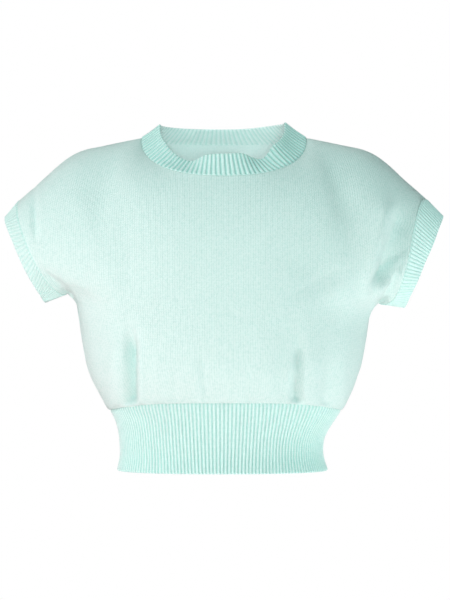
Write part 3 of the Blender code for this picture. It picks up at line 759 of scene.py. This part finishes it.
ribs = {
    "raise": 1.2,
    "reach": 0.9,  # from the base surface to the reverse, under a rib
    "reverseRaise": 0.9,
    "points": 8,  # grid lines for each rib
    "sharp": 3.2,  # the higher, the broader a rib and the narrower the valley beside it
    "lipReach": 1.4,
    "inland": 3,  # the panel's slope at a seam is read so many grid lines away
    "seamEasing": 12,  # rounds that even out the directions round a seam
    "turnsOver": 0.5,  # over this share of its depth a band turns from its seam's normal to its own
    "tuck": 1.6,  # how far a band reaches in under the jersey
    "tuckLevels": [-1.6, -1.1, -0.5, 0.0, 0.35, 0.7, 1.1],
    "edgeLevels": [1.4, 0.9, 0.45, 0.12, 0.0],  # rows that round the free edge
    "sink": 0.5,  # how far a band lies below the jersey where it is tucked in
    "risesFrom": -0.64,  # the ribs grow from this level over the next distance
    "risesOver": 2.2,
    "bead": 0.75,  # the chain that links a band to the jersey stands up by this much
    "beadAt": 0.55,
    "beadReach": 0.55,
}


def ribProfile(phase):  # 1 on top of a rib and 0 in the valley beside it
    return 1 - np.abs(np.sin(math.pi * phase)) ** ribs["sharp"]


def seamFrame(loop, inland, far, sign):
    # The way across a seam halves the turn between the panel and the band, and its normal is
    # square to that. Both are evened out round the seam, so that they don't jump at its corners.
    tangent = unit(np.roll(loop, -1, axis=0) - np.roll(loop, 1, axis=0))

    def square(vector):
        return unit(vector - tangent * (vector * tangent).sum(-1, keepdims=True))

    onward = unit(square(loop - inland) + square(far - loop))
    for _ in range(ribs["seamEasing"]):
        onward = (np.roll(onward, 1, axis=0) + onward * 2 + np.roll(onward, -1, axis=0)) / 4
    onward = square(onward)
    return loop, onward, unit(np.cross(tangent, onward)) * sign


def closedLoop(edges):  # the front's edge and the back's, joined round an opening
    return np.concatenate([edges["front"][:-1], edges["back"][:0:-1]])


def roundLoop(values, places):  # values of a closed loop at places between its points
    count = len(values)
    low = np.floor(places).astype(int)
    share = (places - low)[:, None]
    return values[low % count] * (1 - share) + values[(low + 1) % count] * share


def ribWall(base, normals, ribCount, risen, bead, height):
    # Raises the ribs on both faces of a base surface whose rows run along the band.
    columns = base.shape[1]
    phase = np.arange(columns) / (columns - 1) * ribCount
    down = runAlong(base, 0)
    grown = lip(fromEnds(down, 0), ribs["lipReach"])
    tall = ribProfile(phase)[None, :] * np.minimum(grown, risen)
    low = ribProfile(phase + 0.5)[None, :] * grown
    top = np.maximum(ribs["raise"] * height * tall, bead)
    bottom = ribs["reach"] + ribs["reverseRaise"] * low
    middle = -ribs["reach"] / 2
    top = middle + (top - middle) * grown
    bottom = -middle + (bottom + middle) * grown
    outer = base + normals * top[..., None]
    inner = base - normals * bottom[..., None]
    stitches = np.broadcast_arrays(phase[None, :] + 0.5, down / stitchSize["ribCourse"])
    return outer, inner, np.stack(stitches, axis=-1)


def bandLevels(rows, depth):  # rows from a band's tucked start to its free edge
    between = list(np.linspace(0, depth, rows + 1)[1:-1])
    return np.array(ribs["tuckLevels"] + between + [depth - level for level in ribs["edgeLevels"]])


def evenPlaces(loop, start, end, ribCount):  # places on a loop that lie evenly along it
    spots = loop[np.arange(start, end + 1) % len(loop)]
    run = runAlong(spots[None], 1)[0]
    steps = np.linspace(0, run[-1], ribCount * ribs["points"] + 1)
    return np.interp(steps, run, np.arange(start, end + 1))


def bandShell(name, seam, far, spans, band, ripple, flip, face):
    # A band runs from its seam to the free edge that far gives, with its ribs along that way.
    loop, onward, normal = seam
    parts = [evenPlaces(loop, *span)[:-1] for span in spans]
    places = np.concatenate(parts + [[float(len(loop))]])
    ribCount = sum(span[2] for span in spans)
    start, along, up = (roundLoop(v, places) for v in (loop, onward, normal))
    reach = far(places) - start
    whole = np.linalg.norm(reach, axis=-1, keepdims=True)
    own = unit(up - reach * (up * reach).sum(-1, keepdims=True) / whole**2)
    levels = bandLevels(band["rows"], band["depth"])
    base, normals = [], []
    for level in levels:
        share = level / band["depth"]
        inside = min(max(share, 0), 1)
        turned = smoothStep(share / ribs["turnsOver"])
        out = unit(up * (1 - turned) + own * turned)
        spot = start + (reach * share if level > 0 else along * level)
        spot = spot + out * band["roll"] * math.sin(math.pi * inside)
        spot = spot + out * ripple(places, inside)[:, None]
        tucked = 1 - smoothStep((level + ribs["tuck"]) / (2 * ribs["tuck"]))
        base.append(spot - up * ribs["sink"] * tucked)
        normals.append(out)
    base, normals, levels = np.array(base), np.array(normals), levels[:, None]
    grown = smoothStep((levels - ribs["risesFrom"]) / ribs["risesOver"])
    bead = ribs["bead"] * np.exp(-(((levels - ribs["beadAt"]) / ribs["beadReach"]) ** 2))
    wall = ribWall(base, normals, ribCount, grown, bead, band["ribHeight"])
    return knitShell(name, *wall, flip, face, ribReverse)


neckband = {
    "ribs": {"front": 52, "back": 40},
    "rows": 16,
    "depth": 27.0,
    "roll": -1.0,  # how far the middle of the band bows out
    "ribHeight": 1.0,
    "ripple": 0.35,  # slight waves round the band, and how close they follow each other
    "ripplePace": 0.31,
}


def neckbandShell(surfaces):
    edges, beside = {}, {}
    for side, (_, rows, _, skip) in surfaces.items():
        edges[side] = rows[-1, skip + 1:-skip - 1]
        beside[side] = rows[-1 - ribs["inland"], skip + 1:-skip - 1]
    loop, inland = closedLoop(edges), closedLoop(beside)
    frontCount, backCount = len(edges["front"]) - 1, len(edges["back"]) - 1

    def far(places):
        places = np.mod(places, frontCount + backCount)
        front = neckEdgePoint(places / frontCount * 2 - 1, "front")
        back = neckEdgePoint(1 - (places - frontCount) / backCount * 2, "back")
        return np.where((places <= frontCount)[:, None], front, back)

    def ripple(places, inside):
        wave = neckband["ripple"] * np.sin(places * neckband["ripplePace"])
        return wave * np.sin(math.pi * inside)

    seam = seamFrame(loop, inland, far(np.arange(len(loop))), 1.0)
    spans = [
        (0, frontCount, neckband["ribs"]["front"]),
        (frontCount, frontCount + backCount, neckband["ribs"]["back"]),
    ]
    return bandShell("neckRib", seam, far, spans, neckband, ripple, False, ribFace)


armbands = {
    "ribs": 84,
    "fan": {-1: 0.3, 1: -0.06},  # turns the ribs between the band's top and its lowest point
    "rows": 16,
    "depth": 30.0,
    "roll": 0.0,
    "ribHeight": 0.5,  # stretched ribs stand up less than the waistband's
    "ripple": 0.5,
    "ripplePace": 0.17,
}


def armbandShell(surfaces, hand, name):
    column = -1 if hand > 0 else 0
    edges, beside = {}, {}
    for side, (_, rows, bodyCount, _) in surfaces.items():
        edges[side] = rows[bodyCount:, column]
        beside[side] = rows[bodyCount:, column - hand * ribs["inland"]]
    loop, inland = closedLoop(edges), closedLoop(beside)
    hole, edge = shoulders["armhole"][hand], shoulders["armbandEdge"][hand]

    def farOf(spots):
        middle, up = ovalFrame(hole, hand)
        angle = np.arctan2(-spots[:, 1] / hole[4], (spots - middle) @ up / (up @ up))
        angle -= armbands["fan"][hand] * np.sin(2 * angle)
        middle, up = ovalFrame(edge, hand)
        bulge = ovalOutward(edge, hand) * edge[5]
        result = middle + up * np.cos(angle)[:, None] + bulge * (np.sin(angle) ** 2)[:, None]
        result[:, 1] -= edge[4] * np.sin(angle)
        return result

    seam = seamFrame(loop, inland, farOf(loop), -float(hand))

    def far(places):
        return farOf(roundLoop(loop, places))

    def ripple(places, inside):
        return armbands["ripple"] * np.sin(places * armbands["ripplePace"] + hand) * inside**2

    spans = [(0, len(loop), armbands["ribs"])]
    return bandShell(name, seam, far, spans, armbands, ripple, hand > 0, stretchedRibFace)


waistband = {
    "ribs": 84,  # on the front, and as many on the back
    "rows": 34,
    "lean": [  # across at the hem, and how far a rib leans to the right on its way up
        (-136.0, -16.0),
        (-110.0, -13.0),
        (-83.0, -10.0),
        (-52.0, -6.8),
        (-35.0, -5.1),
        (-18.0, -2.9),
        (0.0, 0.0),
        (17.0, 2.4),
        (36.0, 3.2),
        (54.0, 4.0),
        (71.0, 4.2),
        (88.0, 5.5),
        (110.0, 11.5),
        (132.0, 22.0),
    ],
    "ownCurveAt": 0.75,  # from this turn outwards a rib follows the side seam's curve alone
    "hemLevels": [0.0, 0.12, 0.45, 0.9, 1.4],  # rows that round the hem
    "tuckLevels": [0.0, 1.0, 1.6, 2.1],  # rows in under the jersey, above the seam
    "sink": 0.7,
    "sinksOver": 3.5,
    "risesOver": 3.0,
    "risesFrom": 0.9,
    "sideLip": 1.2,
}


def evenTurns(count, side):  # turns of evenly spaced points round half of the hem
    fine = np.linspace(-1, 1, 4001)  # steps fine enough to read the length from
    ring = ringPoint(tube["waistband"], np.zeros_like(fine), fine, side)
    run = runAlong(ring[None], 1)[0]
    return np.interp(np.linspace(0, run[-1], count + 1), run, fine)


def straightTurn(turns, top, height, side):
    # Ribs lean as the table says in the middle, and follow the sides' curve near the side seams.
    ring = tube["waistband"]
    first = ringPoint(ring, np.zeros_like(turns), turns, side)[:, 0]
    across = first + readTable(waistband["lean"], first)[..., 0] * height / top
    section = readTable(ring, height)
    share = np.clip((across - section[:, 3]) / section[:, 0], -1, 1)
    sine = np.sign(share) * np.abs(share) ** (tube["squareness"] / 2)
    straight = np.arcsin(np.clip(sine, -1, 1)) * 2 / math.pi
    own = smoothStep(np.abs(turns) / waistband["ownCurveAt"])
    return straight * (1 - own) + turns * own


def waistShell(side):
    turns = evenTurns(waistband["ribs"] * ribs["points"], side)
    top = waistSeamHeight(turns)
    shares = np.linspace(0, 1, waistband["rows"] + 1)[1:-1]
    heights = [np.full_like(turns, level) for level in waistband["hemLevels"]]
    heights += [top * share for share in shares]
    heights += [top + level for level in waistband["tuckLevels"]]
    base = np.array([
        ringPoint(tube["waistband"], height, straightTurn(turns, top, height, side), side)
        for height in heights
    ])
    run = np.gradient(base, axis=1)
    normals = unit(point(run[..., 1], -run[..., 0], 0.0)) * -facing[side]
    normals[:, 0] = [-1.0, 0.0, 0.0]
    normals[:, -1] = [1.0, 0.0, 0.0]
    down = base[-1:, :, 2] - base[..., 2]
    sunk = waistband["sink"] * (1 - smoothStep(down / waistband["sinksOver"]))
    base = base - normals * sunk[..., None]
    grown = smoothStep((down - waistband["risesFrom"]) / waistband["risesOver"])
    outer, inner, stitches = ribWall(base, normals, waistband["ribs"], grown, bead=0.0, height=1.0)
    # Ridges and valleys meet the side seams halfway, and the wall closes there.
    sides = lip(fromEnds(runAlong(base, 1), 1), waistband["sideLip"])[..., None]
    middle = (outer + inner) / 2
    outer = middle + (outer - middle) * sides
    inner = middle + (inner - middle) * sides
    flip = side == "back"
    return knitShell(side + "WaistRib", outer, inner, stitches, flip, ribFace, ribReverse)


# The garment: each piece stands for the node of the same part.

surfaces = {side: panelShell(side) for side in facing}
pieces = {
    "front_body": surfaces["front"][0],
    "back_body": surfaces["back"][0],
    "front_waist_rib": waistShell("front"),
    "back_waist_rib": waistShell("back"),
    "neckband": neckbandShell(surfaces),
    "left_armband": armbandShell(surfaces, -1, "leftArmRib"),
    "right_armband": armbandShell(surfaces, 1, "rightArmRib"),
}
for node, piece in pieces.items():
    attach(piece, "root")
    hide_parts(node)

# Floor, camera and lights.

studio = {
    "floorHeight": -2500.0,
    "floorRadius": 2600.0,
    "cameraDistance": 3700.0,
    "cameraHeight": -207.65,
    "cameraAcross": 1.28,
    "pictureHeight": 769.2,  # what the picture's height covers in the plane of the side seams
    "sensor": 36.0,
    "background": "#ffffff",
    "dome": 0.46,
    "domeLow": "#616161",
    "domeTop": "#ffffff",
    "domeFrom": -0.4,  # the dome's colours change between these heights, from -1 below to 1 above
    "domeTo": 0.9,
    "floor": "#f4f5f4",
    "floorRoughness": 0.9,
    "floorGlow": 0.25,  # a painted glow, though the floor is no lamp, so that it stays pale far from the lights
    "lightsAimAt": (0.0, 0.0, -0.2),
}


def makeFloor():
    disc = bmesh.new()
    bmesh.ops.create_circle(disc, cap_ends=True, segments=96, radius=studio["floorRadius"] * mm)
    bmesh.ops.translate(disc, verts=disc.verts[:], vec=(0, 0, studio["floorHeight"] * mm))
    mesh = bpy.data.meshes.new("studioFloor")
    disc.to_mesh(mesh)
    disc.free()
    # A smooth floor in matt paint: pale and even, with no gloss, and a painted glow of its own colour.
    material = bpy.data.materials.new("matPaint")
    material.use_nodes = True
    shader = material.node_tree.nodes["Principled BSDF"]
    shader.inputs["Base Color"].default_value = linear(studio["floor"])
    shader.inputs["Roughness"].default_value = studio["floorRoughness"]
    # Painted light: the floor glows in its own colour, and the glow reaches the cloth too.
    shader.inputs["Emission Color"].default_value = linear(studio["floor"])
    shader.inputs["Emission Strength"].default_value = studio["floorGlow"]
    mesh.materials.append(material)
    floor = bpy.data.objects.new("studioFloor", mesh)
    bpy.context.scene.collection.objects.link(floor)


def makeCamera():
    distance = studio["cameraDistance"]
    data = bpy.data.cameras.new("photoCamera")
    data.sensor_width = studio["sensor"]
    data.lens = studio["sensor"] * distance / studio["pictureHeight"]
    camera = bpy.data.objects.new("photoCamera", data)
    camera.location = Vector((studio["cameraAcross"], -distance, studio["cameraHeight"])) * mm
    camera.rotation_euler = (math.pi / 2, 0, 0)
    bpy.context.scene.collection.objects.link(camera)
    bpy.context.scene.camera = camera


lights = {  # place and size in metres, power in watts, colour
    "softFront": ((0.1, -3.5, -0.05), (1.0, 0.8), 64, "#d8fffb"),
    "softLeft": ((-2.0, -0.8, 1.2), (1.2, 1.2), 29, "#fff1f2"),
    "softRight": ((1.6, -0.2, -1.15), (0.9, 0.9), 20, "#f0f4f5"),
    "softNear": ((-0.95, -0.55, -0.55), (0.5, 0.5), 4.0, "#ffe4e8"),
    "softLow": ((0.0, -0.95, -1.2), (1.6, 0.6), 7.6, "#ffb4b9"),
    "softBack": ((-0.5, 3.4, 0.2), (1.6, 1.2), 80, "#defffb"),
}


def makeLight(name, place, size, power, colour):
    data = bpy.data.lights.new(name, "AREA")
    data.shape = "RECTANGLE"
    data.size, data.size_y = size
    data.energy = power
    data.color = linear(colour)[:3]
    light = bpy.data.objects.new(name, data)
    light.location = place
    aim = Vector(studio["lightsAimAt"]) - light.location
    light.rotation_euler = aim.to_track_quat("-Z", "Y").to_euler()
    bpy.context.scene.collection.objects.link(light)


def makeWorld():
    # The camera sees plain white. The cloth is lit by a soft dome that is brighter high up.
    world = bpy.data.worlds.new("whiteStudio")
    bpy.context.scene.world = world
    world.use_nodes = True
    tree = world.node_tree
    tree.nodes.clear()
    where = addNode(tree, "TexCoord", {})
    split = addNode(tree, "SeparateXYZ", {0: where.outputs["Generated"]})
    height = addNode(
        tree, "MapRange",
        {
            "Value": split.outputs[2],
            "From Min": studio["domeFrom"],
            "From Max": studio["domeTo"],
            "To Min": 0.0,
            "To Max": 1.0,
        },
    )
    tint = addNode(
        tree, "Mix",
        {0: height.outputs[0], 6: linear(studio["domeLow"]), 7: linear(studio["domeTop"])},
        data_type="RGBA",
    )
    dome = addNode(tree, "Background", {"Color": tint.outputs[2], "Strength": studio["dome"]})
    seen = addNode(tree, "Background", {"Color": linear(studio["background"]), "Strength": 1.0})
    rays = addNode(tree, "LightPath", {})
    mixed = addNode(tree, "MixShader", {0: rays.outputs["Is Camera Ray"], 1: dome, 2: seen})
    addNode(tree, "OutputWorld", {"Surface": mixed})


makeFloor()
makeCamera()
makeWorld()
for name, settings in lights.items():
    makeLight(name, *settings)
bpy.context.scene.view_settings.view_transform = "Standard"
print("studio ready")
